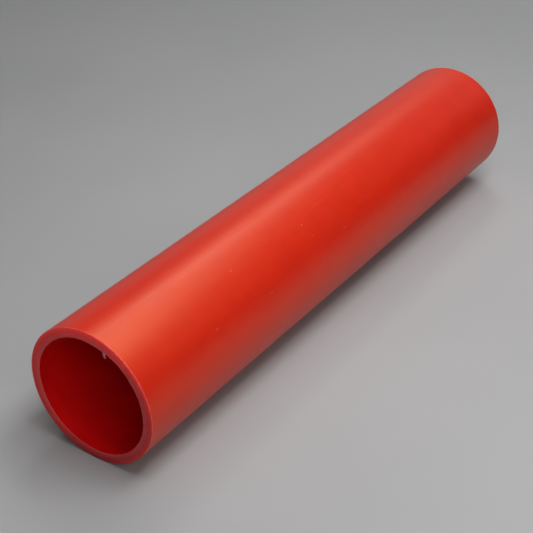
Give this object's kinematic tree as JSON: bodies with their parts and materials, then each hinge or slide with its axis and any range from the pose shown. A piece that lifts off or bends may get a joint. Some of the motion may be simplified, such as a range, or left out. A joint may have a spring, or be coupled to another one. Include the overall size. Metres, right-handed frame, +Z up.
{
  "type": "drawing tube",
  "caption": "Thick-walled red plastic tube, open right through and sawn square at both ends, that keeps rolled drawings.",
  "frame": {"origin": "on the surface that the tube lies on, under the middle of the tube", "axes": "+Y along the tube's axis, away from the end that shows in the picture; +Z up; the tube lies on its side, as pictured"},
  "size_m": [0.06, 0.3, 0.06],
  "materials": {
    "red_plastic": "satin, solid-coloured extruded thermoplastic; the sawn ends are duller and paler"
  },
  "bodies": {
    "root": {"tube": "red_plastic"}
  },
  "joints": []
}
